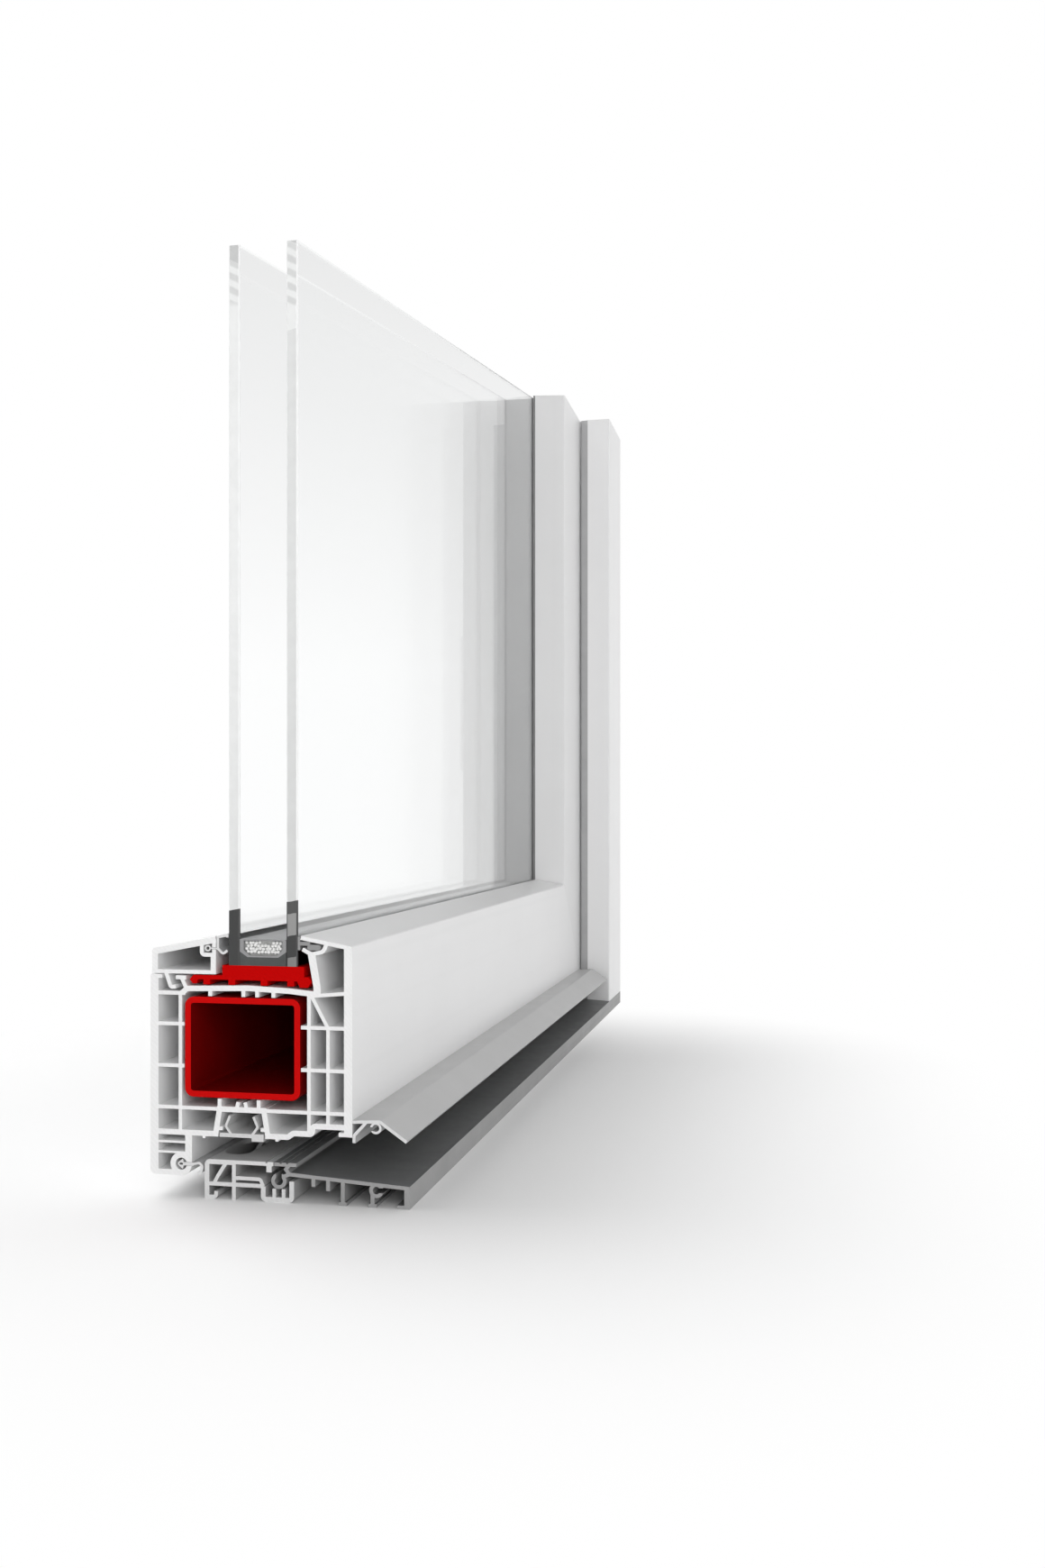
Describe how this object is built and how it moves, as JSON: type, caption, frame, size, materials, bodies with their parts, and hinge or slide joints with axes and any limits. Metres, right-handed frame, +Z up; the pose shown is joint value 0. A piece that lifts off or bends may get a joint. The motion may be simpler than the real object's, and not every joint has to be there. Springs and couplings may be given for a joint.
{
  "type": "upvc hinged door corner sample",
  "caption": "Cut-away lower corner of a glazed uPVC hinged door: chambered leaf and jamb profiles, glazed unit, low threshold, weather bar and hinge.",
  "frame": {"origin": "on the floor, under the middle of the threshold's length, on the foot of its trough", "axes": "+X along the door's width from the cut end to the hinge jamb, +Y to the inside of the building, +Z up"},
  "size_m": [0.512, 0.1102, 0.377],
  "materials": {
    "upvc": "white satin extrusion",
    "steel_red": "red coated steel tube",
    "glass": "clear float glass",
    "spacer": "thin folded spacer bar",
    "desiccant": "loose drying beads",
    "sealant": "dark edge sealant",
    "gasket": "grey soft gasket",
    "packer": "red moulded packer",
    "groove_strip": "light grey sprung strip",
    "weather_bar": "light grey coated aluminium",
    "threshold_base": "off-white extrusion",
    "threshold_plate": "anthracite top, bare cut edge",
    "hinge": "white coated",
    "hinge_pin": "white capped steel pin"
  },
  "bodies": {
    "frame": {"threshold_base": "threshold_base", "threshold_plate": "threshold_plate", "frame_jamb": "upvc", "jamb_reinforcement": "steel_red", "jamb_seal": "gasket", "hinge_bracket": "hinge", "hinge_pin": "hinge_pin"},
    "leaf": {"leaf_bottom_rail": "upvc", "leaf_stile": "upvc", "rail_reinforcement": "steel_red", "stile_reinforcement": "steel_red", "inner_pane": "glass", "outer_pane": "glass", "bottom_spacer": "spacer", "side_spacer": "spacer", "bottom_desiccant": "desiccant", "side_desiccant": "desiccant", "bottom_edge_seal": "sealant", "side_edge_seal": "sealant", "bottom_glazing_bead": "upvc", "side_glazing_bead": "upvc", "bottom_bead_gasket": "gasket", "side_bead_gasket": "gasket", "bottom_outer_glazing_gasket": "gasket", "side_outer_glazing_gasket": "gasket", "glazing_bridge": "packer", "glazing_pad": "packer", "bottom_flange_seal": "gasket", "side_flange_seal": "gasket", "groove_strip": "groove_strip", "weather_bar": "weather_bar", "hinge_flag": "hinge"}
  },
  "joints": [
    {"name": "leaf_hinge", "type": "hinge", "parent": "frame", "child": "leaf", "pos_m": [0.2312, 0.056, 0.2], "axis": [0, 0, -1], "range_deg": [0, 100]}
  ]
}
